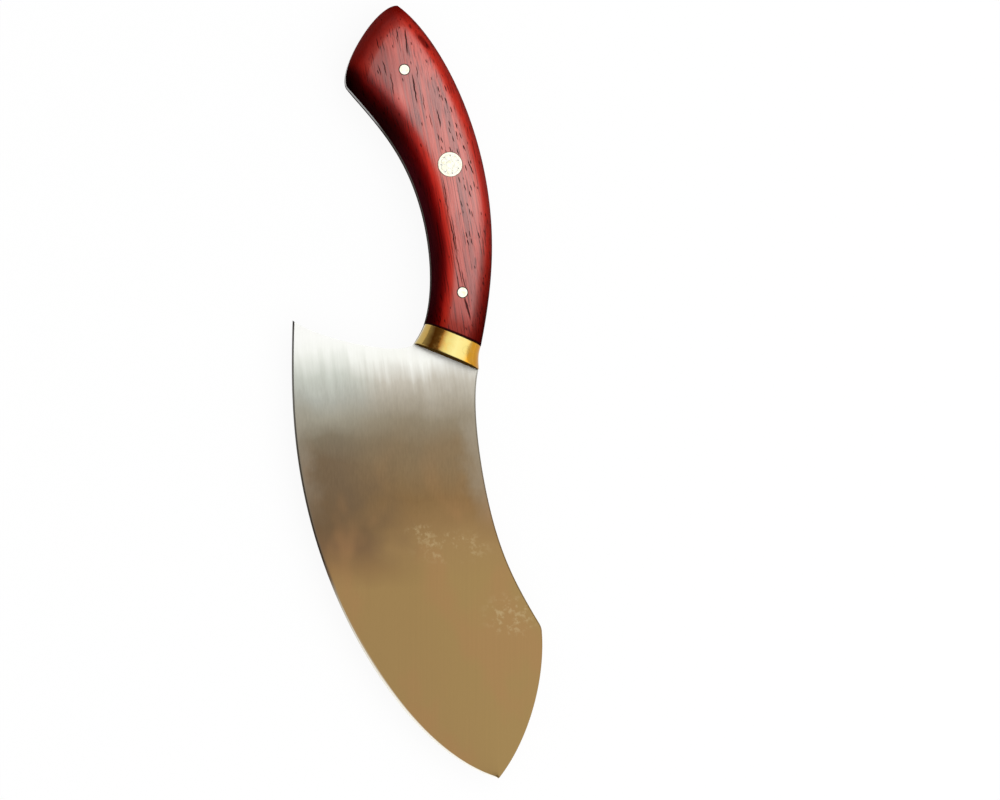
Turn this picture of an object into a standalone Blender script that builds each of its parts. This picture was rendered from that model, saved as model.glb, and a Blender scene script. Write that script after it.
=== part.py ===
"""Kitchen cleaver with a swept blade, full tang, brass bolster and crowned wooden scales.

Metres, +Z up. The cleaver lies on its rear scale: +Y runs from the blade to the butt, +X to the spine side and
+Z out of the front scale. Everything is drawn round the middle of the bolster's blade end, in the plate's
mid-plane, and an empty then moves the whole so that the origin is under the middle of its bounding box.
"""

import math

import bmesh
import bpy
from mathutils import Vector

# Steel plate
PLATE_THICKNESS = 0.0035
TANG_RELIEF = 0.0001
EDGE_THICKNESS = 0.0002
BEVEL_THICKNESS = 0.0007
BEVEL_WIDTH = 0.0009
TIP_THICKNESS = 0.0013
SPINE_CHAMFER_WIDTH = 0.0006
SPINE_CHAMFER_DEPTH = 0.0004
TAPER_START_SHARE = 0.30
GRIND_POWER = 1.4
CHAMFER_LIMIT_SHARE = 0.15
BEVEL_LIMIT_SHARE = 0.30

# Blade outline, from the middle of the bolster's blade end
BLADE_LENGTH = 0.1676
HEEL_REACH = 0.0614
HEEL_RISE = 0.0140
SPINE_SWEEP = 0.0384
CORNER_DROP = 0.1075
TIP_SWEEP = 0.0213
CORNER_ROUND = 0.0016
EDGE_SHARES = ((-1.029, -0.273), (-0.938, -0.468), (-0.420, -0.921))
HEEL_LINE_SHARES = ((-0.881, 0.537), (-0.308, -0.052))
SPINE_SHARES = ((0.212, -0.241), (0.505, -0.660), (0.517, -0.721))
CLIP_SHARES = ((1.055, 0.323), (0.875, 0.747))

# Bolster
BOLSTER_TILT = math.radians(21.5)
BOLSTER_LENGTH = 0.0090
BOLSTER_WIDTH = 0.0278
BOLSTER_THICKNESS = 0.0216
INNER_FLARE = 0.0011
OUTER_FLARE = 0.0027
BOLSTER_CHAMFER = 0.0004
BOLSTER_PIN_RADIUS = 0.0015
BOLSTER_PIN_SHARES = (0.25, 0.75)

# Handle outline, from the middle of the bolster's blade end
HANDLE_LENGTH = 0.1412
BUTT_DROP = 0.0331
INNER_LENGTH = HANDLE_LENGTH - BUTT_DROP
BUTT_HOOK = 0.0402
APEX_HOOK = 0.0200
BACK_REACH = 0.0217
OUTER_SHARES = ((0.987, 0.308), (1.003, 0.500), (0.288, 0.859))
INNER_SHARES = ((-0.024, 0.340), (-0.261, 0.691), (-0.456, 0.775))
BUTT_SHARES = ((0.132, 0.184), (0.894, 0.191))

# Handle section
NECK_THICKNESS = 0.0200
PALM_THICKNESS = 0.0232
BUTT_THICKNESS = 0.0216
SIDE_WALL = 0.0010
BUTT_ROUND = 0.0110
PALM_SHARE = 0.50
SECTION_POWER = 2.25

# Pins, placed along and across the handle
SMALL_PIN_RADIUS = 0.0020
MOSAIC_RADIUS = 0.0049
MOSAIC_WALL = 0.0009
MOSAIC_ROD_RADIUS = 0.00105
MOSAIC_RODS = 7
MOSAIC_FIRST_ANGLE = math.radians(4)
MOSAIC_CENTRE_RADIUS = 0.0015
BUTT_PIN_SHARES = (0.845, 0.44)
MOSAIC_PIN_SHARES = (0.535, 0.475)
NECK_PIN_SHARES = (0.1325, 0.495)

# Clearances
BOND_GAP = 0.00005
JOINT_GAP = 0.0001
PIN_CLEARANCE = 0.00005
PEEN_CLEARANCE = 0.00002
ROD_CLEARANCE = 0.00003
OVERRUN = 0.004
WELD = 0.0000001

# Facets
BEZIER_STEPS = 60
SPINE_ROWS = 26
CORNER_ROWS = 3
CLIP_ROWS = 14
ROOT_COLUMNS = 9
GRIND_COLUMNS = 8
BOLSTER_ROWS = 5
HANDLE_ROWS = 26
ROUND_ROWS = 6
CROWN_COLUMNS = 16
PIN_SIDES = 32
ROD_SIDES = 20


def lerp(a, b, share):
    return a + (b - a) * share


def eased(a, b, share):
    """From a to b, level at both ends."""
    share = min(max(share, 0), 1)
    return lerp(a, b, share * share * (3 - 2 * share))


def bezier(points, share):
    """Point of the Bezier curve with these control points, of any number."""
    while len(points) > 1:
        points = [lerp(a, b, share) for a, b in zip(points, points[1:])]
    return points[0]


def sampled(points):
    return [bezier(points, i / BEZIER_STEPS) for i in range(BEZIER_STEPS + 1)]


class Path:
    """A line through points, read by shares of its length."""

    def __init__(self, points):
        self.points = points
        self.lengths = [0]
        for a, b in zip(points, points[1:]):
            self.lengths.append(self.lengths[-1] + (b - a).length)
        self.length = self.lengths[-1]

    def at(self, share):
        wanted = share * self.length
        for i in range(1, len(self.points)):
            if self.lengths[i] >= wanted or i == len(self.points) - 1:
                run = self.lengths[i] - self.lengths[i - 1]
                along = (wanted - self.lengths[i - 1]) / run
                return lerp(self.points[i - 1], self.points[i], along)


def spread(start, end, count):
    """Count shares from start up to, but not with, end."""
    return [lerp(start, end, i / count) for i in range(count)]


# The bolster's own directions: along it towards the butt, and across it towards the spine side
ALONG = Vector((math.sin(BOLSTER_TILT), math.cos(BOLSTER_TILT)))
ACROSS = Vector((math.cos(BOLSTER_TILT), -math.sin(BOLSTER_TILT)))


def bolster_sides(distance):
    """Spine side and edge side of the bolster, this far from its blade end: a bell mouth towards the blade."""
    flare = math.sin(math.pi / 2 * distance / BOLSTER_LENGTH)
    outer = ALONG * distance + ACROSS * (BOLSTER_WIDTH / 2 - OUTER_FLARE * flare)
    inner = ALONG * distance - ACROSS * (BOLSTER_WIDTH / 2 - INNER_FLARE * flare)
    return outer, inner


ROOT_OUTER, ROOT_INNER = bolster_sides(0)
NECK_OUTER, NECK_INNER = bolster_sides(BOLSTER_LENGTH)
HEEL = Vector((-HEEL_REACH, HEEL_RISE))
TIP = Vector((TIP_SWEEP, -BLADE_LENGTH))
CORNER = Vector((SPINE_SWEEP, -CORNER_DROP))
APEX = Vector((-APEX_HOOK, HANDLE_LENGTH))
INNER_CORNER = Vector((-BUTT_HOOK, INNER_LENGTH))


def edge_path():
    bends = [Vector((x * HEEL_REACH, y * BLADE_LENGTH)) for x, y in EDGE_SHARES]
    return Path(sampled([HEEL, *bends, TIP]))


def heel_path():
    """From the bolster's inner corner out to the heel, a shallow hollow."""
    bends = [Vector((x * HEEL_REACH, y * HEEL_RISE)) for x, y in reversed(HEEL_LINE_SHARES)]
    return Path(sampled([ROOT_INNER, *bends, HEEL]))


def spine_path():
    """Spine, rounded corner and clip down to the tip, with the shares where the rounding starts and ends."""
    bends = [Vector((x * SPINE_SWEEP, y * CORNER_DROP)) for x, y in SPINE_SHARES]
    spine = Path(sampled([ROOT_OUTER, *bends, CORNER]))
    bends = [Vector((x * SPINE_SWEEP, lerp(CORNER.y, TIP.y, y))) for x, y in CLIP_SHARES]
    clip = Path(sampled([CORNER, *bends, TIP]))
    before = 1 - CORNER_ROUND / spine.length
    after = CORNER_ROUND / clip.length
    rounding = [spine.at(before), CORNER, clip.at(after)]
    whole = Path(
        [spine.at(before * i / BEZIER_STEPS) for i in range(BEZIER_STEPS)]
        + sampled(rounding)
        + [clip.at(lerp(after, 1, i / BEZIER_STEPS)) for i in range(1, BEZIER_STEPS + 1)]
    )
    start = before * spine.length / whole.length
    end = 1 - (1 - after) * clip.length / whole.length
    return whole, start, end


def blade_patch():
    """Grid over the blade, from the bolster's line and the heel line down to the tip."""
    spine, round_start, round_end = spine_path()
    edge = edge_path()
    heel = heel_path()
    root = (ROOT_INNER - ROOT_OUTER).length / ((ROOT_INNER - ROOT_OUTER).length + heel.length)
    rows = spread(0, round_start, SPINE_ROWS) + spread(round_start, round_end, CORNER_ROWS)
    rows += spread(round_end, 1, CLIP_ROWS) + [1]
    grid = []
    for down in rows:
        back = spine.at(down)
        front = edge.at(down)
        width = max((front - back).length, SPINE_CHAMFER_WIDTH)
        chamfer = min(SPINE_CHAMFER_WIDTH / width, CHAMFER_LIMIT_SHARE)
        bevel = 1 - min(BEVEL_WIDTH / width, BEVEL_LIMIT_SHARE)
        columns = [0] + spread(chamfer, root, ROOT_COLUMNS) + spread(root, bevel, GRIND_COLUMNS) + [bevel, 1]
        grid.append([])
        for over in columns:
            if over <= root:
                top = lerp(ROOT_OUTER, ROOT_INNER, over / root)
            else:
                top = heel.at((over - root) / (1 - root))
            bow = top - lerp(ROOT_OUTER, HEEL, over)
            place = lerp(back, front, over) + bow * (1 - down)
            half = blade_half_thickness(down, over, root, bevel)
            grid[-1].append((place, half))
    return grid


def blade_half_thickness(down, over, root, bevel):
    """Flat cheek beside the spine, then a slightly round grind to the edge bevel, all thinner towards the tip."""
    taper = max(down - TAPER_START_SHARE, 0) / (1 - TAPER_START_SHARE)
    cheek = lerp(PLATE_THICKNESS, TIP_THICKNESS, taper) / 2
    if over == 1 or down == 1:
        return EDGE_THICKNESS / 2
    if over == 0:
        return cheek - SPINE_CHAMFER_DEPTH * (1 - taper)
    ground = max(over - root, 0) / (bevel - root)
    return lerp(cheek, BEVEL_THICKNESS / 2, ground**GRIND_POWER)


def bolster_rows():
    inside = spread(BOLSTER_CHAMFER, BOLSTER_LENGTH - BOLSTER_CHAMFER, BOLSTER_ROWS)
    return [0] + inside + [BOLSTER_LENGTH - BOLSTER_CHAMFER, BOLSTER_LENGTH]


OUTER_PATH = Path(
    sampled(
        [NECK_OUTER, *(Vector((x * BACK_REACH, y * HANDLE_LENGTH)) for x, y in OUTER_SHARES), APEX]
    )
)
INNER_PATH = Path(
    sampled(
        [NECK_INNER, *(Vector((x * BUTT_HOOK, y * INNER_LENGTH)) for x, y in INNER_SHARES), INNER_CORNER]
    )
)
BUTT_CHORD = APEX - INNER_CORNER
BUTT_OUTWARD = Vector((-BUTT_CHORD.y, BUTT_CHORD.x))
BUTT_POINTS = [
    APEX,
    *(INNER_CORNER + BUTT_CHORD * x + BUTT_OUTWARD * y for x, y in reversed(BUTT_SHARES)),
    INNER_CORNER,
]


def handle_place(along, over):
    """Place on the handle: along from the neck to the butt, over from the spine side to the edge side."""
    straight = lerp(OUTER_PATH.at(along), INNER_PATH.at(along), over)
    bow = bezier(BUTT_POINTS, over) - lerp(APEX, INNER_CORNER, over)
    return straight + bow * along**3


def handle_rows():
    """Even shares along the handle, then closer ones over the rounded butt."""
    rounded = 1 - BUTT_ROUND / OUTER_PATH.length
    angles = [math.pi / 2 * i / ROUND_ROWS for i in range(1, ROUND_ROWS + 1)]
    return spread(0, rounded, HANDLE_ROWS) + [rounded] + [lerp(rounded, 1, math.sin(a)) for a in angles]


def crown_columns():
    """Shares across the handle with the height of its crown there: the upper half of a squarish oval."""
    columns = []
    for i in range(CROWN_COLUMNS + 1):
        angle = math.pi * i / CROWN_COLUMNS
        flat = abs(math.cos(angle)) ** (2 / SECTION_POWER)
        over = (1 - math.copysign(flat, math.cos(angle))) / 2
        columns.append((over, max(math.sin(angle), 0) ** (2 / SECTION_POWER)))
    return columns


SHOULDER = PLATE_THICKNESS / 2 + SIDE_WALL


def handle_height(along, crown):
    """Distance from the mid-plane to the scale's face."""
    if along < PALM_SHARE:
        thickness = eased(NECK_THICKNESS, PALM_THICKNESS, along / PALM_SHARE)
    else:
        thickness = eased(PALM_THICKNESS, BUTT_THICKNESS, (along - PALM_SHARE) / (1 - PALM_SHARE))
    left = (1 - along) * OUTER_PATH.length / BUTT_ROUND
    fall = math.sqrt(max(1 - (1 - left) ** 2, 0)) if left < 1 else 1
    return SHOULDER + (thickness / 2 - SHOULDER) * crown * fall


def scale_patch(first=0):
    """Grid over the handle with the height of the crown at each place."""
    rows = [first] + handle_rows()[1:]
    return [
        [(handle_place(along, over), handle_height(along, crown)) for over, crown in crown_columns()]
        for along in rows
    ]


def bolster_patch(chamfered=True):
    """Grid over the bolster, its two rims drawn in by the chamfer."""
    grid = []
    for distance in bolster_rows():
        rim = distance in (0, BOLSTER_LENGTH) and chamfered
        drawn_in = BOLSTER_CHAMFER if rim else 0
        outer, inner = bolster_sides(distance)
        outer = outer - ACROSS * drawn_in
        inner = inner + ACROSS * drawn_in
        thickness = eased(BOLSTER_THICKNESS, NECK_THICKNESS, distance / BOLSTER_LENGTH)
        top = thickness / 2 - SHOULDER - drawn_in
        grid.append([(lerp(outer, inner, over), SHOULDER + top * crown) for over, crown in crown_columns()])
    return grid


def tang_patch(first_row):
    """Grid over the tang, whose first row is the blade's own under the bolster."""
    length = (first_row[-1][0] - first_row[0][0]).length
    columns = [(place - first_row[0][0]).length / length for place, half in first_row]
    half = PLATE_THICKNESS / 2 - TANG_RELIEF
    grid = [first_row]
    for distance in bolster_rows()[1:]:
        outer, inner = bolster_sides(distance)
        grid.append([(lerp(outer, inner, over), half) for over in columns])
    for along in handle_rows()[1:]:
        grid.append([(handle_place(along, over), half) for over in columns])
    return grid


def new_object(name, mesh, collection):
    obj = bpy.data.objects.new(name, mesh)
    collection.objects.link(obj)
    obj.parent = bpy.data.objects["cleaver_datum"]
    return obj


def sheet_body(name, patches, bottom, collection, sharp):
    """One closed body over grids of (place, height) that meet edge to edge.

    Its underside is at the height that bottom gives for each height above it.
    """
    index = {}
    points = []
    faces = []

    def corner(cell):
        place, height = cell
        key = (round(place.x / WELD), round(place.y / WELD))
        if key not in index:
            index[key] = len(points)
            points.append((place.x, place.y, height))
        return index[key]

    for grid in patches:
        for row, below in zip(grid, grid[1:]):
            for i in range(len(row) - 1):
                face = [corner(c) for c in (row[i], row[i + 1], below[i + 1], below[i])]
                face = [c for n, c in enumerate(face) if c != face[n - 1]]
                if len(face) > 2:
                    faces.append(face)

    turned = []
    for face in faces:
        area = sum(
            points[a][0] * points[b][1] - points[b][0] * points[a][1]
            for a, b in zip(face, face[1:] + face[:1])
        )
        turned.append(face if area > 0 else face[::-1])
    count = len(points)
    sides = {(a, b) for face in turned for a, b in zip(face, face[1:] + face[:1])}
    walls = [(b, a, a + count, b + count) for a, b in sides if (b, a) not in sides]
    walls.sort()
    under = [tuple(c + count for c in reversed(face)) for face in turned]
    lower = [(x, y, bottom(height)) for x, y, height in points]

    mesh = bpy.data.meshes.new(name)
    mesh.from_pydata(points + lower, [], turned + under + walls)
    mesh.update()
    bm = bmesh.new()
    bm.from_mesh(mesh)
    bmesh.ops.recalc_face_normals(bm, faces=bm.faces)
    bm.to_mesh(mesh)
    bm.free()
    mesh.shade_smooth()
    mesh.set_sharp_from_angle(angle=sharp)
    return new_object(name, mesh, collection)


def cylinder(name, place, radius, sides, collection):
    """A round bar through the whole handle, square to the plate."""
    mesh = bpy.data.meshes.new(name)
    bm = bmesh.new()
    depth = max(BOLSTER_THICKNESS, NECK_THICKNESS, PALM_THICKNESS, BUTT_THICKNESS) + OVERRUN
    bmesh.ops.create_cone(
        bm, cap_ends=True, segments=sides, radius1=radius, radius2=radius, depth=depth
    )
    bm.to_mesh(mesh)
    bm.free()
    mesh.shade_smooth()
    mesh.set_sharp_from_angle(angle=math.radians(40))
    obj = new_object(name, mesh, collection)
    obj.location = (place.x, place.y, 0)
    return obj


def hide(cutter):
    cutter.hide_render = True
    cutter.display_type = "WIRE"
    return cutter


def boolean(obj, other, operation):
    modifier = obj.modifiers.new(f"{operation.lower()} {other.name}", "BOOLEAN")
    modifier.operation = operation
    modifier.solver = "EXACT"
    modifier.object = other


def coloured(obj, colour, roughness, metallic):
    material = bpy.data.materials.new(f"{obj.name} finish")
    material.use_nodes = True
    shader = material.node_tree.nodes["Principled BSDF"]
    shader.inputs["Base Color"].default_value = (*colour, 1)
    shader.inputs["Roughness"].default_value = roughness
    shader.inputs["Metallic"].default_value = metallic
    obj.data.materials.append(material)
    return obj


def steel(obj):
    return coloured(obj, (0.52, 0.48, 0.41), 0.32, 1)


def brass(obj):
    return coloured(obj, (0.80, 0.56, 0.20), 0.18, 1)


def nickel_silver(obj):
    return coloured(obj, (0.86, 0.85, 0.78), 0.22, 1)


def rosewood(obj):
    return coloured(obj, (0.26, 0.025, 0.018), 0.15, 0)


def resin(obj):
    return coloured(obj, (0.82, 0.80, 0.70), 0.30, 0)


def make_blade(parts):
    patch = blade_patch()
    tang = tang_patch(patch[0][: ROOT_COLUMNS + 2])
    return steel(sheet_body("blade", [patch, tang], lambda z: -z, parts, math.radians(7)))


def make_bolster(parts):
    """Two brass cheeks that seat on the plate at the tang's shoulders."""
    seat = PLATE_THICKNESS / 2 + BOND_GAP
    sharp = math.radians(30)
    front = sheet_body("bolster_front", [bolster_patch()], lambda z: seat, parts, sharp)
    rear = sheet_body("bolster_rear", [turned_over(bolster_patch())], lambda z: -seat, parts, sharp)
    return brass(front), brass(rear)


def make_scales(parts):
    """Two crowned wooden halves that meet the bolster and lie flat on the tang."""
    seat = PLATE_THICKNESS / 2 - TANG_RELIEF + BOND_GAP
    first = JOINT_GAP / INNER_PATH.length
    sharp = math.radians(35)
    front = sheet_body("scale_front", [scale_patch(first)], lambda z: seat, parts, sharp)
    rear = sheet_body("scale_rear", [turned_over(scale_patch(first))], lambda z: -seat, parts, sharp)
    return rosewood(front), rosewood(rear)


def turned_over(grid):
    return [[(place, -height) for place, height in row] for row in grid]


def make_pin(name, place, radius, sides, envelope, parts):
    """A bar whose ends are ground flush with the crown it comes out of."""
    pin = cylinder(name, place, radius, sides, parts)
    boolean(pin, envelope, "INTERSECT")
    return pin


def drill(bodies, name, place, radius, sides, cutters):
    hole = hide(cylinder(name, place, radius, sides, cutters))
    for body in bodies:
        boolean(body, hole, "DIFFERENCE")
    return hole


def make_mosaic(place, envelope, bodies, parts, cutters):
    """Tube with a ring of rods round a thicker one, cast in resin, all through the handle."""
    bore = MOSAIC_RADIUS - MOSAIC_WALL
    drill(bodies, "mosaic_hole", place, MOSAIC_RADIUS + PIN_CLEARANCE, PIN_SIDES, cutters)
    tube = nickel_silver(make_pin("mosaic_tube", place, MOSAIC_RADIUS, PIN_SIDES, envelope, parts))
    drill([tube], "mosaic_bore", place, bore, PIN_SIDES, cutters)
    filling = make_pin("mosaic_resin", place, bore - ROD_CLEARANCE, PIN_SIDES, envelope, parts)
    resin(filling)

    rods = [("mosaic_centre_rod", place, MOSAIC_CENTRE_RADIUS)]
    ring = (bore + MOSAIC_CENTRE_RADIUS) / 2
    for i in range(MOSAIC_RODS):
        angle = MOSAIC_FIRST_ANGLE + 2 * math.pi * i / MOSAIC_RODS
        spot = place + Vector((math.cos(angle), math.sin(angle))) * ring
        rods.append((f"mosaic_rod_{i + 1}", spot, MOSAIC_ROD_RADIUS))
    for name, spot, radius in rods:
        nickel_silver(make_pin(name, spot, radius, ROD_SIDES, envelope, parts))
        drill([filling], f"{name}_hole", spot, radius + ROD_CLEARANCE, ROD_SIDES, cutters)


def centre_over_origin(bodies):
    """Moves the datum so that the cleaver lies over the origin, its lowest point at zero."""
    corners = [vertex.co for body in bodies for vertex in body.data.vertices]
    low = Vector([min(c[axis] for c in corners) for axis in range(3)])
    high = Vector([max(c[axis] for c in corners) for axis in range(3)])
    datum = bpy.data.objects["cleaver_datum"]
    datum.location = (-(low.x + high.x) / 2, -(low.y + high.y) / 2, -low.z)


def main():
    for obj in list(bpy.data.objects):
        bpy.data.objects.remove(obj)
    parts = bpy.data.collections.new("cleaver")
    cutters = bpy.data.collections.new("cleaver_cutters")
    bpy.context.scene.collection.children.link(parts)
    bpy.context.scene.collection.children.link(cutters)
    parts.objects.link(bpy.data.objects.new("cleaver_datum", None))

    blade = make_blade(parts)
    bolster_front, bolster_rear = make_bolster(parts)
    scale_front, scale_rear = make_scales(parts)
    sharp = math.radians(35)
    handle_form = hide(sheet_body("handle_form", [scale_patch()], lambda z: -z, cutters, sharp))
    bolster_form = hide(
        sheet_body("bolster_form", [bolster_patch(chamfered=False)], lambda z: -z, cutters, sharp)
    )

    handle = [blade, scale_front, scale_rear]
    for name, shares in (("butt_pin", BUTT_PIN_SHARES), ("neck_pin", NECK_PIN_SHARES)):
        place = handle_place(*shares)
        drill(handle, f"{name}_hole", place, SMALL_PIN_RADIUS + PIN_CLEARANCE, PIN_SIDES, cutters)
        nickel_silver(make_pin(name, place, SMALL_PIN_RADIUS, PIN_SIDES, handle_form, parts))
    make_mosaic(handle_place(*MOSAIC_PIN_SHARES), handle_form, handle, parts, cutters)

    outer, inner = bolster_sides(BOLSTER_LENGTH / 2)
    for i, share in enumerate(BOLSTER_PIN_SHARES):
        name = f"bolster_pin_{i + 1}"
        place = lerp(outer, inner, share)
        bodies = [blade, bolster_front, bolster_rear]
        drill(bodies, f"{name}_hole", place, BOLSTER_PIN_RADIUS + PEEN_CLEARANCE, ROD_SIDES, cutters)
        brass(make_pin(name, place, BOLSTER_PIN_RADIUS, ROD_SIDES, bolster_form, parts))

    centre_over_origin([blade, bolster_front, bolster_rear, scale_front, scale_rear])


main()
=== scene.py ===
import math
from functools import reduce

import bmesh
import bpy
import numpy as np
from mathutils import Matrix, Vector
from mathutils.bvhtree import BVHTree


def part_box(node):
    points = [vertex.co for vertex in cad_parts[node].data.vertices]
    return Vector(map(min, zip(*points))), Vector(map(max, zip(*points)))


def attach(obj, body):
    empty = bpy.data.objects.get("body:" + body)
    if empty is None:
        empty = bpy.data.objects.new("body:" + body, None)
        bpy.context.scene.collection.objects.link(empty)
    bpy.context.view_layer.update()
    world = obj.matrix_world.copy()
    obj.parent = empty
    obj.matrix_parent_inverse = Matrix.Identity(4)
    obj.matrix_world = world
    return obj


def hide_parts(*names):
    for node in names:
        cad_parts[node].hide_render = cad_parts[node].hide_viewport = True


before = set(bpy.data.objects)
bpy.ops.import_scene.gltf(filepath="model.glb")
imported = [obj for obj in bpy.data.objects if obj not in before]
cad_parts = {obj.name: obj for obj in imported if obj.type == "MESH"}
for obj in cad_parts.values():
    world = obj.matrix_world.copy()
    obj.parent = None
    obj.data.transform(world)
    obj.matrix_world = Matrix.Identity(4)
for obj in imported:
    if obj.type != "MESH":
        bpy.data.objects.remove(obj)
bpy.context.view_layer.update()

# The cleaver lies on its rear scale. Everything is drawn on the blade's mid-plane, from the middle of the
# bolster's blade end, with +Y towards the butt and +X towards the spine, and then moved by datum.
bladeShape = {
    "thickness": 0.0035,
    "edgeThickness": 0.0002,
    "bevelThickness": 0.0007,
    "bevelFineThickness": 0.00032,
    "bevelFine": (0.42, 0.50),
    "bevelMap": 0.97,
    "bevelWidth": 0.0009,
    "bevelMost": 0.30,
    "tipThickness": 0.0013,
    "chamferWidth": 0.0006,
    "chamferDepth": 0.0004,
    "chamferMost": 0.15,
    "taperStart": 0.30,
    "grindPower": 1.4,
    "length": 0.1676,
    "heel": (-0.0614, 0.0140),
    "corner": (0.0384, -0.1075),
    "tip": (0.0213, -0.1676),
    "cornerRound": 0.0016,
    "edgeBends": ((-1.029, -0.273), (-0.938, -0.468), (-0.420, -0.921)),
    "heelBends": ((-0.881, 0.537), (-0.308, -0.052)),
    "spineBends": ((0.212, -0.241), (0.505, -0.660), (0.517, -0.721)),
    "clipBends": ((1.055, 0.323), (0.875, 0.747)),
    "spineRows": 110,
    "cornerRows": 8,
    "clipRows": 56,
    "rootColumns": 30,
    "grindColumns": 46,
    "lineSteps": 300,
    "roundSteps": 60,
    "sharpAngle": 7,
}
bolsterShape = {
    "tilt": math.radians(21.5),
    "length": 0.0090,
    "width": 0.0278,
    "thickness": 0.0216,
    "innerFlare": 0.0011,
    "outerFlare": 0.0027,
    "rimRound": 0.0004,
    "rows": 30,
    "rimRows": 5,
    "columns": 96,
    "sharpAngle": 40,
}
handleShape = {
    "length": 0.1412,
    "innerLength": 0.1081,
    "buttHook": 0.0402,
    "apexHook": 0.0200,
    "backReach": 0.0217,
    "outerBends": ((0.987, 0.308), (1.003, 0.500), (0.288, 0.859)),
    "innerBends": ((-0.024, 0.340), (-0.261, 0.691), (-0.456, 0.775)),
    "buttBends": ((0.132, 0.184), (0.894, 0.191)),
    "neckThickness": 0.0200,
    "palmThickness": 0.0232,
    "buttThickness": 0.0216,
    "sideWall": 0.0010,
    "buttRound": 0.0110,
    "bowPower": 3,
    "palmShare": 0.50,
    "sectionPower": 2.25,
    "tangRelief": 0.0001,
    "bondGap": 0.00005,
    "jointGap": 0.0001,
    "jointRound": 0.0002,
    "jointSteps": (0, 0.3, 1.0),
    "rows": 150,
    "roundRows": 26,
    "columns": 96,
    "sharpAngle": 35,
}
pinShape = {
    "proud": 0.00002,
    "rimRound": 0.00008,
    "crispRound": 0.00002,
    "rimTurns": (30, 60, 90),
    "sides": 72,
    "rings": 7,
    "clearance": 0.00003,
    "mergeWithin": 0.0000005,
    "drillDepth": 0.03,
    "rayStart": 0.05,
    "sharpAngle": 35,
}
handlePins, bolsterPins = ("butt_pin", "neck_pin", "mosaic_tube"), ("bolster_pin_1", "bolster_pin_2")


def lerp(a, b, share):
    return a + (b - a) * share


def eased(a, b, share):
    share = np.clip(share, 0, 1)
    return lerp(a, b, share * share * (3 - 2 * share))


def bezier(points, shares):
    t = np.atleast_1d(np.asarray(shares, float))[:, None]
    levels = [np.asarray(p, float)[None, :] + 0 * t for p in points]
    while len(levels) > 1:
        levels = [lerp(a, b, t) for a, b in zip(levels, levels[1:])]
    return levels[0]


def curveLine(points, steps=400):
    return bezier(points, np.linspace(0, 1, steps + 1))


def runOf(line):
    return np.concatenate([[0], np.cumsum(np.linalg.norm(np.diff(line, axis=0), axis=1))])


def readLine(line, shares):  # places on the line at shares of its length
    run = runOf(line)
    wanted = np.asarray(shares, float) * run[-1]
    return np.stack([np.interp(wanted, run, line[:, k]) for k in (0, 1)], axis=-1)


def spread(start, end, count):
    return np.linspace(start, end, count, endpoint=False)


# Directions of the bolster: along it towards the butt, and across it towards the spine side
alongBolster = np.array((math.sin(bolsterShape["tilt"]), math.cos(bolsterShape["tilt"])))
acrossBolster = np.array((math.cos(bolsterShape["tilt"]), -math.sin(bolsterShape["tilt"])))


def bolsterSides(distance):
    distance = np.atleast_1d(distance)[:, None]
    flare = np.sin(math.pi / 2 * distance / bolsterShape["length"])
    middle, half = alongBolster * distance, bolsterShape["width"] / 2
    outer = middle + acrossBolster * (half - bolsterShape["outerFlare"] * flare)
    return outer, middle - acrossBolster * (half - bolsterShape["innerFlare"] * flare)


rootOuter, rootInner = (side[0] for side in bolsterSides(0))
neckOuter, neckInner = (side[0] for side in bolsterSides(bolsterShape["length"]))
heel, corner, tip = (np.array(bladeShape[k]) for k in ("heel", "corner", "tip"))
apex = np.array((-handleShape["apexHook"], handleShape["length"]))
innerCorner = np.array((-handleShape["buttHook"], handleShape["innerLength"]))
buttChord = apex - innerCorner
buttOutward = np.array((-buttChord[1], buttChord[0]))


def scaled(bends, reach):
    return [np.array((x * reach[0], y * reach[1])) for x, y in bends]


edgeLine = curveLine([heel, *scaled(bladeShape["edgeBends"], (-heel[0], bladeShape["length"])), tip])
heelLine = curveLine([rootInner, *scaled(bladeShape["heelBends"][::-1], (-heel[0], heel[1])), heel])
spineLine = curveLine([rootOuter, *scaled(bladeShape["spineBends"], (corner[0], -corner[1])), corner])
clipBends = [np.array((x * corner[0], lerp(corner[1], tip[1], y))) for x, y in bladeShape["clipBends"]]
clipLine = curveLine([corner, *clipBends, tip])
outerBends = scaled(handleShape["outerBends"], (handleShape["backReach"], handleShape["length"]))
outerLine = curveLine([neckOuter, *outerBends, apex])
innerBends = scaled(handleShape["innerBends"], (handleShape["buttHook"], handleShape["innerLength"]))
innerLine = curveLine([neckInner, *innerBends, innerCorner])
buttBends = [innerCorner + buttChord * x + buttOutward * y for x, y in handleShape["buttBends"][::-1]]
buttPoints = [apex, *buttBends, innerCorner]
outerLength = runOf(outerLine)[-1]

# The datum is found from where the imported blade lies
bladeLow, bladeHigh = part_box("blade")
edgeMost = edgeLine[:, 0].min()
datum = Vector((bladeLow.x - edgeMost, bladeLow.y + bladeShape["length"], (bladeLow.z + bladeHigh.z) / 2))
print("drawing datum", [round(v, 5) for v in datum])


def backLine():
    # Spine, rounded corner and clip as one line, with the shares where the rounding starts and ends
    before = 1 - bladeShape["cornerRound"] / runOf(spineLine)[-1]
    after = bladeShape["cornerRound"] / runOf(clipLine)[-1]
    start, end = readLine(spineLine, [before])[0], readLine(clipLine, [after])[0]
    steps, roundSteps = bladeShape["lineSteps"], bladeShape["roundSteps"]
    first = readLine(spineLine, spread(0, before, steps))
    rounding = curveLine([start, corner, end], roundSteps)
    last = readLine(clipLine, np.linspace(after, 1, steps)[1:])
    whole = np.concatenate([first, rounding, last])
    run = runOf(whole)
    return whole, run[len(first)] / run[-1], run[len(first) + roundSteps] / run[-1]


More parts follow.
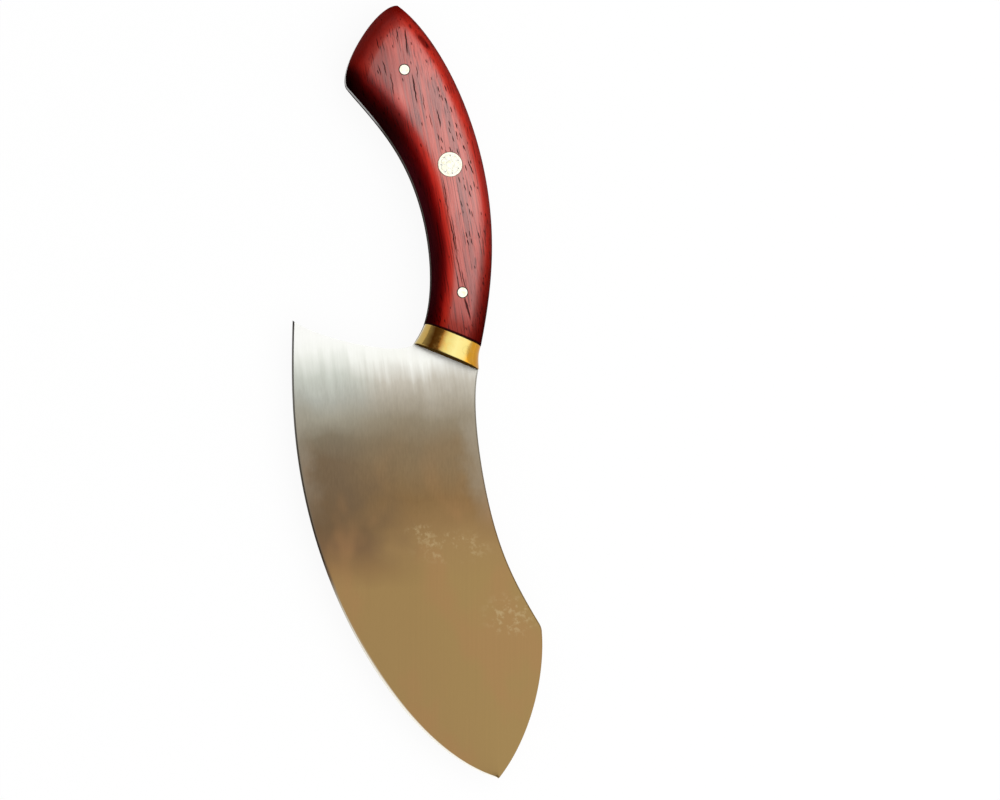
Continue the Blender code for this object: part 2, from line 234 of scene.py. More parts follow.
def bladeHalf(down, over, root, bevel):
    shape = bladeShape
    taper = max(down - shape["taperStart"], 0) / (1 - shape["taperStart"])
    cheek = lerp(shape["thickness"], shape["tipThickness"], taper) / 2
    ground = np.clip((over - root) / (bevel - root), 0, 1) ** shape["grindPower"]
    start, end = shape["bevelFine"]
    fine = eased(shape["bevelThickness"], shape["bevelFineThickness"], (down - start) / (end - start))
    half = lerp(cheek, fine / 2, ground)
    half[0] = cheek - shape["chamferDepth"] * (1 - taper)
    half[0 if down == 1 else -1:] = shape["edgeThickness"] / 2  # all of the last row, at the tip
    return half


def bladeGrids():
    # The blade from the bolster's line to the tip, and the tang that goes on from its first row
    shape = bladeShape
    back, roundStart, roundEnd = backLine()
    rows = [spread(0, roundStart, shape["spineRows"]), spread(roundStart, roundEnd, shape["cornerRows"])]
    rows = np.concatenate([*rows, spread(roundEnd, 1, shape["clipRows"]), [1]])
    rootWidth = np.linalg.norm(rootInner - rootOuter)
    root = rootWidth / (rootWidth + runOf(heelLine)[-1])
    blade = []
    for down, rear, front in zip(rows, readLine(back, rows), readLine(edgeLine, rows)):
        width = max(np.linalg.norm(front - rear), shape["chamferWidth"])
        chamfer = min(shape["chamferWidth"] / width, shape["chamferMost"])
        bevel = 1 - min(shape["bevelWidth"] / width, shape["bevelMost"])
        over = [[0], spread(chamfer, root, shape["rootColumns"]), spread(root, bevel, shape["grindColumns"])]
        over = np.concatenate([*over, [bevel, 1]])
        share = over[:, None]
        top = readLine(heelLine, (over - root) / (1 - root))
        top = np.where(share <= root, lerp(rootOuter, rootInner, share / root), top)
        place = lerp(rear, front, share) + (top - lerp(rootOuter, heel, share)) * (1 - down)
        half = bladeHalf(down, over, root, bevel)
        mapped = np.where(over < 1, over / bevel * shape["bevelMap"], 1)
        blade.append(np.column_stack([place, half, mapped, over * 0 + down]))
    first = blade[0][: shape["rootColumns"] + 2]
    over = np.linalg.norm(first[:, :2] - first[0, :2], axis=1)
    over = over / over[-1]
    half = shape["thickness"] / 2 - handleShape["tangRelief"]
    tang = [first]
    for distance in np.linspace(0, bolsterShape["length"], bolsterShape["rows"])[1:]:
        outer, inner = bolsterSides(distance)
        tang.append(np.column_stack([lerp(outer, inner, over[:, None]), over * 0 + half, over, over * 0]))
    for along in handleRows()[1:]:
        tang.append(np.column_stack([handlePlaces(along, over), over * 0 + half, over, over * 0]))
    return [np.array(blade), np.array(tang)]


def handleRows():
    rounded = 1 - handleShape["buttRound"] / outerLength
    angles = np.linspace(0, math.pi / 2, handleShape["roundRows"])
    return np.concatenate([spread(0, rounded, handleShape["rows"]), lerp(rounded, 1, np.sin(angles))])


def handlePlaces(along, over):
    # along runs from the neck to the butt, over from the spine side to the edge side
    over = np.atleast_1d(over)
    straight = lerp(readLine(outerLine, [along])[0], readLine(innerLine, [along])[0], over[:, None])
    bow = bezier(buttPoints, over) - lerp(apex, innerCorner, over[:, None])
    return straight + bow * along ** handleShape["bowPower"]


def crown(columns):
    # Shares across the section with the crown's height there: the upper half of a squarish oval
    angle = np.linspace(0, math.pi, columns + 1)
    power = 2 / handleShape["sectionPower"]
    flat = np.sign(np.cos(angle)) * np.abs(np.cos(angle)) ** power
    return (1 - flat) / 2, np.clip(np.sin(angle), 0, 1) ** power


shoulder = bladeShape["thickness"] / 2 + handleShape["sideWall"]


def handleTop(along, lift):
    shape = handleShape
    if along < shape["palmShare"]:
        thick = eased(shape["neckThickness"], shape["palmThickness"], along / shape["palmShare"])
    else:
        past = (along - shape["palmShare"]) / (1 - shape["palmShare"])
        thick = eased(shape["palmThickness"], shape["buttThickness"], past)
    left = min((1 - along) * outerLength / shape["buttRound"], 1)
    fall = math.sqrt(max(1 - (1 - left) ** 2, 0))
    return shoulder + (thick / 2 - shoulder) * lift * fall


def scaleGrid():
    shape = handleShape
    over, lift = crown(shape["columns"])
    start = shape["jointGap"] / outerLength
    rimmed = start + shape["jointRound"] / outerLength * np.array(shape["jointSteps"])
    rows = np.concatenate([rimmed, handleRows()[1:]])
    grid = []
    for i, along in enumerate(rows):
        # the end edge is broken round
        drop = shape["jointRound"] * (1 - math.sqrt(1 - (1 - min(i, 2) / 2) ** 2))
        top = handleTop(along, lift) - drop * (lift > 0)
        grid.append(np.column_stack([handlePlaces(along, over), top, over, over * 0 + along]))
    return np.array(grid)


def bolsterGrid():
    shape = bolsterShape
    over, lift = crown(shape["columns"])
    turn = np.linspace(0, math.pi / 2, shape["rimRows"] + 1)
    inset = shape["rimRound"] * (1 - np.cos(turn))  # distances over the rounded rim
    drawnIn = shape["rimRound"] * (1 - np.sin(turn))
    inside = np.linspace(shape["rimRound"], shape["length"] - shape["rimRound"], shape["rows"])[1:-1]
    distances = np.concatenate([inset, inside, shape["length"] - inset[::-1]])
    draws = np.concatenate([drawnIn, inside * 0, drawnIn[::-1]])
    grid = []
    for distance, draw in zip(distances, draws):
        outer, inner = (side[0] for side in bolsterSides(distance))
        outer, inner = outer - acrossBolster * draw, inner + acrossBolster * draw
        thick = eased(shape["thickness"], handleShape["neckThickness"], distance / shape["length"])
        top = shoulder + (thick / 2 - shoulder - draw) * lift
        places = lerp(outer, inner, over[:, None])
        grid.append(np.column_stack([places, top, over, over * 0 + distance / shape["length"]]))
    return np.array(grid)


weldPerMetre = 1e7  # grid points nearer than its inverse become one


def sheetBody(name, grids, underside, sharpAngle):
    # One closed body over grids of (x, y, height, over, along); underside gives the lower height
    index, points, faces, maps = {}, [], [], []
    for grid in grids:
        rows, columns = grid.shape[:2]
        cells = grid.reshape(-1, 5)
        numbers = []
        for x, y, z, over, along in cells:
            key = (round(x * weldPerMetre), round(y * weldPerMetre))
            if key not in index:
                index[key] = len(points)
                points.append((x, y, z))
            numbers.append(index[key])
        for r in range(rows - 1):
            for c in range(columns - 1):
                start = r * columns + c
                corners = (start, start + 1, start + columns + 1, start + columns)
                kept = [k for n, k in enumerate(corners) if numbers[k] != numbers[corners[n - 1]]]
                if len(kept) > 2:
                    faces.append([numbers[k] for k in kept])
                    maps.append([tuple(cells[k][3:5]) for k in kept])
    flat = np.array(points)
    for n, face in enumerate(faces):
        x, y = flat[face, 0], flat[face, 1]
        if np.dot(x, np.roll(y, -1)) < np.dot(y, np.roll(x, -1)):
            faces[n], maps[n] = face[::-1], maps[n][::-1]
    count = len(points)
    edges = {}
    for face, pairs in zip(faces, maps):
        for n in range(len(face)):
            edges[(face[n - 1], face[n])] = (pairs[n - 1], pairs[n])
    rims = [(edge, pair) for edge, pair in edges.items() if edge[::-1] not in edges]
    walls = [(b, a, a + count, b + count) for (a, b), pair in rims]
    wallMaps = [(pair[1], pair[0], pair[0], pair[1]) for edge, pair in rims]
    under = [[k + count for k in face[::-1]] for face in faces]
    low = [(x, y, underside(z)) for x, y, z in points]
    mesh = bpy.data.meshes.new(name)
    mesh.from_pydata(points + low, [], faces + under + walls)
    layer = mesh.uv_layers.new(name="handleMap")
    flatMaps = [uv for pairs in maps for uv in pairs] + [uv for pairs in maps for uv in pairs[::-1]]
    flatMaps += [uv for pairs in wallMaps for uv in pairs]
    layer.uv.foreach_set("vector", np.array(flatMaps, np.float32).ravel())
    return finishMesh(mesh, name, sharpAngle)


def newObject(name, data):
    obj = bpy.data.objects.new(name, data)
    bpy.context.scene.collection.objects.link(obj)
    return obj


def finishMesh(mesh, name, sharpAngle):
    bm = bmesh.new()
    bm.from_mesh(mesh)
    bmesh.ops.delete(bm, geom=[v for v in bm.verts if not v.link_faces], context="VERTS")
    bmesh.ops.recalc_face_normals(bm, faces=bm.faces)
    bm.to_mesh(mesh)
    bm.free()
    mesh.transform(Matrix.Translation(datum))
    mesh.shade_smooth()
    mesh.set_sharp_from_angle(angle=math.radians(sharpAngle))
    return newObject(name, mesh)


def twins(name, grid, seat, sharpAngle):
    # The front piece, seated at a height over the mid-plane, and the same turned over
    turnedOver = grid * np.array((1, 1, -1, 1, 1))
    front = sheetBody(name % "Front", [grid], lambda z: seat, sharpAngle)
    return front, sheetBody(name % "Rear", [turnedOver], lambda z: -seat, sharpAngle)


def dress(obj, node, material):
    obj.data.materials.clear()
    obj.data.materials.append(material)
    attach(obj, "root")
    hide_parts(node)


def bar(name, place, radius, tops, flush=False, crisp=False, hole=0.0):
    # A round bar or tube square to the plate; its ends follow the crowns in tops, with softly broken rims
    shape, sides = pinShape, pinShape["sides"]
    soft = 0 if flush else shape["crispRound"] if crisp else shape["rimRound"]
    proud = 0 if flush else shape["proud"]
    radii = list(np.linspace(hole, radius - soft, shape["rings"])[0 if hole else 1:])
    drops = [0] * len(radii)
    for turn in () if flush else shape["rimTurns"]:
        radii.append(radius - soft + soft * math.sin(math.radians(turn)))
        drops.append(soft * (1 - math.cos(math.radians(turn))))
    points, faces = [], []
    for side in (1, -1):
        top = tops[0] if side > 0 else tops[1]
        base = len(points)
        points.append((place[0], place[1], side * (top(*place) + proud)))  # left loose in a tube
        for r, drop in zip(radii, drops):
            for k in range(sides):
                angle = 2 * math.pi * k / sides
                x, y = place[0] + r * math.cos(angle), place[1] + r * math.sin(angle)
                points.append((x, y, side * (top(x, y) + proud - drop)))
        for k in range(sides):
            after = (k + 1) % sides
            if not hole:
                faces.append((base, base + 1 + k, base + 1 + after))
            for n in range(len(radii) - 1):
                start = base + 1 + n * sides
                outward = start + sides
                faces.append((start + k, outward + k, outward + after, start + after))
    ring = 1 + (len(radii) - 1) * sides
    lower = len(points) // 2
    for k in range(sides):
        after = (k + 1) % sides
        faces.append((ring + k, lower + ring + k, lower + ring + after, ring + after))
        if hole:
            faces.append((1 + k, 1 + after, lower + 1 + after, lower + 1 + k))
    mesh = bpy.data.meshes.new(name)
    mesh.from_pydata(points, [], faces)
    return finishMesh(mesh, name, shape["sharpAngle"])


def bore(bodies, holes):
    # Cuts round holes, given as (place, radius), through the bodies
    mesh = bpy.data.meshes.new("drill")
    bm = bmesh.new()
    for place, radius in holes:
        at = Matrix.Translation((place[0] + datum.x, place[1] + datum.y, datum.z))
        sides, depth = pinShape["sides"], pinShape["drillDepth"]
        bmesh.ops.create_cone(
            bm, cap_ends=True, segments=sides, radius1=radius, radius2=radius, depth=depth, matrix=at
        )
    bm.to_mesh(mesh)
    bm.free()
    drill = newObject("drill", mesh)
    for body in bodies:
        modifier = body.modifiers.new("holes", "BOOLEAN")
        modifier.operation = "DIFFERENCE"
        modifier.solver = "EXACT"
        modifier.object = drill
        bpy.context.view_layer.update()
        made = bpy.data.meshes.new_from_object(body.evaluated_get(bpy.context.evaluated_depsgraph_get()))
        body.modifiers.clear()
        bm = bmesh.new()
        bm.from_mesh(made)
        bmesh.ops.remove_doubles(bm, verts=bm.verts, dist=pinShape["mergeWithin"])
        bmesh.ops.dissolve_degenerate(bm, dist=pinShape["mergeWithin"], edges=bm.edges)
        bm.to_mesh(made)
        bm.free()
        body.data = made
    bpy.data.objects.remove(drill)


def topOf(obj, side):
    # Height of obj's face over the mid-plane at a drawn place, on the side +1 or -1
    surface = BVHTree.FromObject(obj, bpy.context.evaluated_depsgraph_get())

    def height(x, y):
        start = Vector((x, y, side * pinShape["rayStart"])) + datum
        hit = surface.ray_cast(start, Vector((0, 0, -side)))[0]
        return side * (hit.z - datum.z)

    return height


# Materials are built from small node helpers; colours are written as they look, 0 to 255
def tone(r, g, b):
    shares = (r / 255, g / 255, b / 255)
    return (*(c / 12.92 if c <= 0.04045 else ((c + 0.055) / 1.055) ** 2.4 for c in shares), 1)


def startMaterial(name):
    global tree  # the helpers below work on the material that was started last
    material = bpy.data.materials.new(name)
    material.use_nodes = True
    tree = material.node_tree
    return material


def feed(node, inputs):
    for socket, value in inputs.items():
        if isinstance(value, bpy.types.NodeSocket):
            tree.links.new(value, node.inputs[socket])
        else:
            node.inputs[socket].default_value = value


def shade(settings):
    feed(tree.nodes["Principled BSDF"], settings)


def addNode(kind, inputs=None, **fields):
    made = tree.nodes.new("ShaderNode" + kind)
    for field, value in fields.items():
        setattr(made, field, value)
    feed(made, inputs or {})
    return made


def calc(operation, a, b=0.0, c=0.0):
    return addNode("Math", {0: a, 1: b, 2: c}, operation=operation).outputs[0]


def plus(a, b):
    return calc("ADD", a, b)


def times(*factors):
    return reduce(lambda a, b: calc("MULTIPLY", a, b), factors)


def swing(value, reach):  # a noise value turned into a shift of up to half the reach each way
    return calc("MULTIPLY_ADD", value, reach, -reach / 2)


def fade(value, low, high, start=0.0, end=1.0):
    inputs = {"Value": value, "From Min": low, "From Max": high, "To Min": start, "To Max": end}
    return addNode("MapRange", inputs, interpolation_type="SMOOTHSTEP").outputs["Result"]


def patch(first, second, firstFade, secondFade):
    return times(fade(first, *firstFade), fade(second, *secondFade))


def blendColour(amount, a, b, mode="MIX"):
    a, b = (tone(*side) if isinstance(side, tuple) else side for side in (a, b))
    return addNode("Mix", {0: amount, 6: a, 7: b}, data_type="RGBA", blend_type=mode).outputs[2]


def ramp(value, stops):
    # stops hold colours as they look, or plain levels
    made = addNode("ValToRGB", {"Fac": value})
    elements = made.color_ramp.elements
    while len(elements) < len(stops):
        elements.new(0.5)
    for element, (position, colour) in zip(elements, stops):
        element.position = position
        element.color = tone(*colour) if isinstance(colour, tuple) else (colour,) * 3 + (1,)
    return made.outputs["Color"]


milli = 1000.0  # from metres to the drawing's millimetres
flatReach = 1e4  # makes a spot the same at every height
noiseSpan = (0.3, 0.7)  # where most values of a noise lie
cloudSpan = (0.45, 0.7)


def placed(vector, turn=0.0, stretch=(1, 1, 1), move=(0, 0, 0)):
    inputs = {"Vector": vector, "Rotation": (0, 0, turn), "Scale": stretch, "Location": move}
    return addNode("Mapping", inputs).outputs["Vector"]


def noise(vector, scale=1.0, detail=3.0, roughness=0.5, reach=0.0, **mapping):
    # mapping may hold a turn, a stretch and a move; with a reach the noise is a shift
    if mapping:
        vector = placed(vector, **mapping)
    inputs = {"Vector": vector, "Scale": scale, "Detail": detail, "Roughness": roughness}
    value = addNode("TexNoise", inputs).outputs["Fac"]
    return swing(value, reach) if reach else value


def dot(vector, direction):
    return addNode("VectorMath", {0: vector, 1: direction}, operation="DOT_PRODUCT").outputs["Value"]


def scaledBy(vector, amount):
    return addNode("VectorMath", {0: vector, "Scale": amount}, operation="SCALE").outputs[0]


def xyzOf(vector):
    return addNode("SeparateXYZ", {"Vector": vector}).outputs


def bump(height, strength, distance):
    return addNode("Bump", {"Height": height, "Strength": strength, "Distance": distance}).outputs["Normal"]


def mapOf():
    return xyzOf(addNode("UVMap", uv_map="handleMap").outputs["UV"])[0:2]


def drawingOf():  # the place on the drawing, in millimetres
    place = addNode("TexCoord").outputs["Object"]
    moved = addNode("VectorMath", {0: place, 1: tuple(datum)}, operation="SUBTRACT").outputs[0]
    return scaledBy(moved, milli)


def spot(drawing, place, reach, turn=0.0, core=0.35, depth=1.0):
    # depth within a stretched round, fading to 0 at its reach; all in millimetres
    inputs = {"Vector": drawing, "Location": (*place, 0), "Rotation": (0, 0, turn)}
    inputs["Scale"] = (*reach, flatReach)
    local = addNode("Mapping", inputs, vector_type="TEXTURE").outputs["Vector"]
    far = addNode("VectorMath", {0: local}, operation="LENGTH").outputs["Value"]
    return fade(far, 1.0, core, 0.0, depth)


def strongest(masks):
    return reduce(lambda a, b: calc("MAXIMUM", a, b), masks)


steelLook = {
    "shader": {"Anisotropic": 0.4, "Specular IOR Level": 0.0},
    "top": 7.2,
    "span": 100.0,
    # painted reflection down the blade, white at the top to brown and tan: tones as shares of the span from
    # the top, near the edge and near the spine
    "edgeSideReflection": (
        (0.00, (252, 252, 248)), (0.05, (247, 248, 242)), (0.09, (232, 234, 226)), (0.16, (200, 203, 193)),
        (0.24, (175, 176, 166)), (0.32, (158, 153, 137)), (0.40, (128, 117, 98)), (0.50, (117, 99, 77)),
        (0.76, (113, 91, 66)), (0.84, (122, 96, 69)), (0.92, (143, 113, 75)), (1.00, (158, 129, 83)),
    ),
    "spineSideReflection": (
        (0.00, (252, 252, 248)), (0.08, (246, 246, 239)), (0.12, (224, 222, 213)), (0.17, (194, 188, 175)),
        (0.24, (170, 162, 146)), (0.32, (144, 132, 111)), (0.42, (133, 115, 89)), (0.52, (134, 112, 82)),
        (0.64, (134, 106, 70)), (0.73, (145, 115, 76)), (0.82, (156, 126, 83)), (0.95, (158, 130, 83)),
    ),
    "rim": (168, 161, 146),
    # painted reflection and shade on the bevel from the heel to the tip: dark near the heel and halfway up,
    # a pale highlight towards the tip
    "bevel": (
        (0.00, (108, 104, 98)), (0.04, (176, 174, 168)), (0.15, (176, 172, 162)), (0.24, (132, 124, 110)),
        (0.49, (102, 84, 66)), (0.55, (190, 180, 160)), (0.64, (234, 228, 214)), (0.74, (250, 246, 234)),
    ),
    "warm": (166, 125, 84),
    "pale": (186, 164, 122),
    "tang": (158, 153, 147),
    "tangStart": 3.0,
    # painted shade along the tang's edge on the finger side
    "tangShadeTone": (44, 28, 30),
    "tangShadeZone": ((0.4, 0.6), (102.0, 84.0)),
    "metalByTangShade": (0.2, 0.8, 1.0, 0.0),
    # where the bevel's painted highlight and shade reach past the bevel, and how strongly
    "bevelPaintStart": 0.958,
    "bevelHighlightStrength": (0.55, 0.76, 0.0, 0.75),
    "bevelShadeStrength": ((0.16, 0.28, 0.0, 0.7), (0.54, 0.50)),
    "bevelSoft": 0.002,
    "gain": 0.604,
    # where pale water specks lie: middle and reach in millimetres
    "specks": (((2.0, -76.0), (19.0, 8.5)), ((26.0, -103.0), (14.0, 11.0)), ((-10.0, -70.5), (8.0, 5.0))),
    # noises, and how far they shift what they vary
    "streakTurn": math.radians(-8),
    "streaks": {"stretch": (0.45, 0.03, 0.45), "reach": 0.10},
    "clouds": {"scale": 0.055},
    "cloudSwing": 0.10,
    "sideSwing": 0.5,
    "frayed": {"scale": 0.12, "reach": 0.16},
    "warmth": {"scale": 0.04, "stretch": (1, 0.6, 1), "move": (9, 4, 0)},
    "grains": {"scale": 0.38, "detail": 4.0, "roughness": 0.64},
    "lines": {"stretch": (0.9, 0.018, 0.001), "turn": math.radians(4)},
    "gritTurn": math.radians(20),
    "grit": {"detail": 2.0, "reach": 0.22, "stretch": (1.4, 0.35, 1.4), "move": (2, 6, 0)},
    "belt": {"stretch": (0.05, 0.05, 5.0), "reach": 1.0},
    # fades: from and to, then the values there unless 0 and 1
    "streakZone": ((-0.04, 0.06), (0.34, 0.16)),
    "spineward": (0.80, 0.36),
    "warmByNoise": (0.46, 0.62, 0.0, 0.42),
    "warmZone": (0.3, 0.8),
    "rimFades": ((0.84, 0.98, 0.0, 0.32), (0.14, 0.0, 0.0, 0.40)),
    "brownZone": ((0.18, 0.34), (0.80, 0.50)),
    "grainFade": (0.49, 0.66, 0.0, 0.55),
    "gritZone": ((0.10, 0.25), (0.85, 0.55)),
    "lineContrast": (0.975, 1.025),
    "sideFacing": (0.6, 0.3),
    "beltFade": (-0.2, 0.2, 0.84, 1.16),
    "roughness": (0.25, 0.75, 0.28, 0.34),
    "bump": (0.03, 0.0002),
}


def makeSteel():
    look = steelLook
    material = startMaterial("bladeSteel")
    drawing = drawingOf()
    across, share = mapOf()
    y = xyzOf(drawing)[1]
    down = calc("MULTIPLY_ADD", y, -1 / look["span"], look["top"] / look["span"])
    # The painted highlight falls off down the blade in streaks along the grind, then in soft clouds
    streaks = noise(placed(drawing, look["streakTurn"]), **look["streaks"])
    shift = times(streaks, patch(down, down, *look["streakZone"]))
    clouds = noise(drawing, **look["clouds"])
    down = plus(down, plus(shift, swing(clouds, look["cloudSwing"])))
    frayed = plus(across, noise(drawing, **look["frayed"]))
    spineward = fade(plus(across, swing(clouds, look["sideSwing"])), *look["spineward"])
    colour = blendColour(spineward, ramp(down, look["edgeSideReflection"]), ramp(down, look["spineSideReflection"]))
    # Warm patches and grey strips by the rims vary the painted reflection
    warm = fade(noise(drawing, **look["warmth"]), *look["warmByNoise"])
    colour = blendColour(times(warm, fade(down, *look["warmZone"])), colour, look["warm"])
    rims = plus(*(fade(frayed, *side) for side in look["rimFades"]))
    colour = blendColour(times(rims, patch(down, down, *look["brownZone"])), colour, look["rim"])
    specks = strongest([spot(drawing, *where) for where in look["specks"]])
    grains = fade(noise(drawing, **look["grains"]), *look["grainFade"])
    colour = blendColour(times(specks, grains), colour, look["pale"])
    # The tang's edge on the finger side carries painted shade, and is not metal there
    onTang = fade(dot(drawing, (*alongBolster, 0)), 0.0, look["tangStart"])
    tangShade = times(onTang, patch(across, y, *look["tangShadeZone"]))
    metal = fade(tangShade, *look["metalByTangShade"])
    colour = blendColour(onTang, colour, blendColour(tangShade, look["tang"], look["tangShadeTone"]))
    # The bevel's painted reflection and shade run on a little past the bevel: a painted highlight near the
    # tip and painted shade halfway up the edge
    strength = plus(fade(share, *look["bevelHighlightStrength"]), patch(share, share, *look["bevelShadeStrength"]))
    start = bladeShape["bevelMap"]
    bevelPaintWidening = times(fade(across, look["bevelPaintStart"], start), strength)
    bevel = strongest([fade(across, start, start + look["bevelSoft"]), bevelPaintWidening])
    colour = blendColour(bevel, colour, ramp(share, look["bevel"]))
    # Fine grind lines and grit run down the blade
    lines = noise(drawing, **look["lines"])
    lineTone = fade(lines, *noiseSpan, *(contrast * look["gain"] for contrast in look["lineContrast"]))
    grit = noise(drawing, turn=look["gritTurn"], **look["grit"])
    grit = times(grit, patch(down, down, *look["gritZone"]))
    # The narrow sides carry lines that run along them, from the belt
    facing = xyzOf(addNode("NewGeometry").outputs["True Normal"])[2]
    onSide = fade(calc("ABSOLUTE", facing), *look["sideFacing"])
    beltTone = fade(times(onSide, noise(drawing, **look["belt"])), *look["beltFade"])
    colour = scaledBy(colour, times(lineTone, plus(grit, 1.0), beltTone))
    shade({**look["shader"], "Base Color": colour, "Metallic": metal})
    shade({"Roughness": fade(lines, *look["roughness"]), "Normal": bump(lines, *look["bump"])})
    return material


woodLook = {
    "shader": {"Roughness": 0.42, "Coat Roughness": 0.18, "Coat IOR": 1.75, "Specular IOR Level": 0.0},
    "grainTurn": math.radians(-10),
    # the red ground from the spine side to the edge side, with painted shade: a dark line at the spine-side
    # outline and a flank darkened to near black on the edge side
    "groundAndShade": (
        (0.00, (84, 16, 10)), (0.05, (140, 26, 14)), (0.10, (172, 34, 20)), (0.16, (200, 48, 32)),
        (0.40, (190, 60, 44)), (0.62, (190, 54, 38)), (0.71, (198, 44, 27)), (0.76, (178, 30, 18)),
        (0.80, (128, 9, 5)), (0.86, (84, 2, 3)), (0.92, (60, 1, 5)), (1.00, (56, 12, 18)),
    ),
    # the painted sheen, pale light reflected on the lacquered crown over the red, and how much of it there
    # is from the neck to the butt
    "paintedSheen": (206, 128, 116),
    "paintedSheenOrange": (204, 104, 88),
    "paintedSheenLevels": (
        (0.00, 0.00), (0.03, 0.12), (0.07, 0.38), (0.14, 0.48), (0.30, 0.62),
        (0.42, 0.92), (0.60, 0.80), (0.80, 0.68), (0.90, 0.45), (0.96, 0.05),
    ),
    # brightness of the ground, darker at the neck and with painted shade where the butt end rounds away, and
    # strength of the lacquer, from the neck to the butt
    "groundLevels": (
        (0.00, 0.48), (0.03, 0.56), (0.07, 0.70), (0.14, 0.80), (0.30, 0.90),
        (0.45, 1.0), (0.90, 0.97), (0.94, 0.80), (0.975, 0.38), (1.00, 0.30),
    ),
    "coatAlong": (
        (0.00, 0.08), (0.03, 0.16), (0.07, 0.50), (0.16, 0.75), (0.30, 0.85),
        (0.40, 1.0), (0.80, 1.0), (0.90, 0.70), (0.95, 0.35), (0.98, 0.05),
    ),
    # the lacquer is full on the crown and thin on the flanks
    "coatAcross": (
        (0.00, 0.05), (0.10, 0.12), (0.20, 0.80), (0.28, 1.0),
        (0.60, 1.0), (0.76, 0.22), (0.84, 0.03), (1.00, 0.0),
    ),
    # the painted sheen, dimmed in broad grain bands
    "dimmedSheen": (146, 98, 94),
    "deep": (172, 22, 11),
    "dark": (30, 5, 8),
    "shade": (110, 34, 30),
    # a duskier patch on the butt: middle, reach, turn, core and depth
    "dusk": ((-26.0, 111.0), (9.0, 17.0), 0.0, 0.3, 0.42),
    # veins: both ends and the width in millimetres, and how dark
    "veinStretch": (0.72, 1.4),
    "veins": (
        (-17.8, 131.0, -16.7, 120.0, 0.7, 1.0), (-15.0, 112.5, -13.0, 100.5, 0.7, 1.0),
        (-13.4, 116.0, -12.6, 110.5, 0.4, 0.7), (-11.0, 105.0, -9.5, 97.0, 0.4, 0.6),
        (-21.2, 131.5, -20.6, 124.0, 0.5, 0.7), (-29.3, 126.8, -28.1, 121.8, 0.5, 0.7),
        (-26.8, 117.5, -25.0, 111.2, 0.5, 0.8), (-28.7, 116.2, -27.5, 111.2, 0.4, 0.7),
        (-23.7, 113.1, -21.9, 102.5, 0.5, 0.7), (-27.0, 126.0, -25.9, 121.0, 0.4, 0.5),
        (-12.9, 129.4, -7.3, 122.2, 2.8, 0.52), (-5.1, 98.5, -3.4, 90.5, 0.5, 0.9),
        (-8.2, 97.0, -6.9, 90.5, 0.4, 0.6), (7.3, 78.5, 10.0, 72.5, 0.5, 0.9),
        (-2.8, 72.0, 0.0, 53.5, 0.6, 0.6), (-0.2, 56.5, 3.2, 39.0, 0.6, 0.7),
        (0.5, 57.5, 3.8, 37.5, 0.4, 0.6), (2.4, 42.5, 5.8, 26.0, 0.6, 0.6),
        (4.8, 34.5, 7.2, 25.0, 0.5, 0.7), (6.0, 24.0, 9.0, 13.5, 1.0, 0.7),
        (2.8, 33.5, 4.6, 22.5, 0.4, 0.6),
    ),
    # the largest open pores, one short dash each: reach, turn, core and depth, then their places
    "pore": ((0.30, 1.9), math.radians(17), 0.35, 0.95),
    "pores": (
        (-4.3, 106.5), (-1.3, 107.0), (-2.8, 103.0), (-1.2, 102.0), (0.8, 98.5), (0.1, 92.5),
        (2.8, 92.0), (0.1, 90.0), (2.9, 88.5), (4.4, 88.0), (-4.4, 87.0), (-3.1, 86.0),
        (1.6, 86.5), (6.2, 83.0), (0.4, 82.0), (3.4, 81.5), (6.7, 75.0), (3.9, 70.0),
        (6.4, 67.0), (8.8, 67.0), (8.5, 64.5), (10.1, 68.5), (4.8, 60.5), (8.1, 57.5),
        (9.3, 56.5), (6.9, 48.0), (8.2, 48.5), (7.6, 45.0), (9.0, 45.5), (12.2, 48.0),
    ),
    # small pores: their lattice, fewer towards the edge, size and depth
    "smallTurn": math.radians(-16),
    "smallStretch": (0.8, 0.20, 0.8),
    "smallSpread": -0.35,
    "smallChosen": (0.50, 0.54),
    "smallSize": (0.22, 0.10, 0.0, 0.85),
    # rings round the pins: how far past the pin in millimetres, core and depth
    "ringPast": 0.5,
    "ring": (0.88, 0.75),
    # noises, and how far they shift what they vary
    "sway": {"detail": 2.0, "reach": 0.07, "stretch": (0.16, 0.03, 0.16)},
    "bands": {"roughness": 0.55, "stretch": (0.42, 0.012, 0.42), "move": (3, 0, 0)},
    "fibres": {"detail": 4.0, "roughness": 0.6, "stretch": (2.2, 0.06, 2.2)},
    "hairs": {"detail": 2.0, "stretch": (1.7, 0.035, 1.7), "move": (7, 5, 0)},
    "orangeSwing": 0.7,
    "wobble": {"scale": 0.35, "detail": 1.0, "reach": 0.9},
    # fades: from and to, then the values there unless 0 and 1
    "orangeSide": (0.34, 0.62),
    "paintedSheenAcross": ((0.12, 0.21), (0.72, 0.62)),
    "paintedSheenByFibre": (0.3, 0.7, 0.75, 0.45),
    "dimmedSheenByBand": (0.46, 0.60, 0.0, 0.8),
    "shadeByFibre": (0.45, 0.75, 0.0, 0.42),
    "shadeByHair": (0.57, 0.67, 0.0, 0.75),
    "levelByBand": (0.35, 0.65, 1.06, 0.92),
    "joint": (0.008, 0.004, 0.0, 0.9),
    "markFade": (0.10, 0.80),
    "markDepth": 0.94,
    "coatByMarks": (0.1, 0.8, 1.0, 0.15),
    "coatByNeck": (0.0, 0.6, 1.0, 0.35),
    # the same, one along the handle and one across it
    "neck": ((0.38, 0.10, 0.0, 0.75), (0.34, 0.16)),
    # painted shade along the edge side of the butt
    "buttSideShade": ((0.58, 0.78), (0.62, 0.76, 0.0, 0.85)),
    "buttEnd": ((0.93, 0.975, 0.0, 0.85), (0.80, 0.66)),
    "fibreHeight": 0.2,
    "bump": (0.25, 0.0001),
}


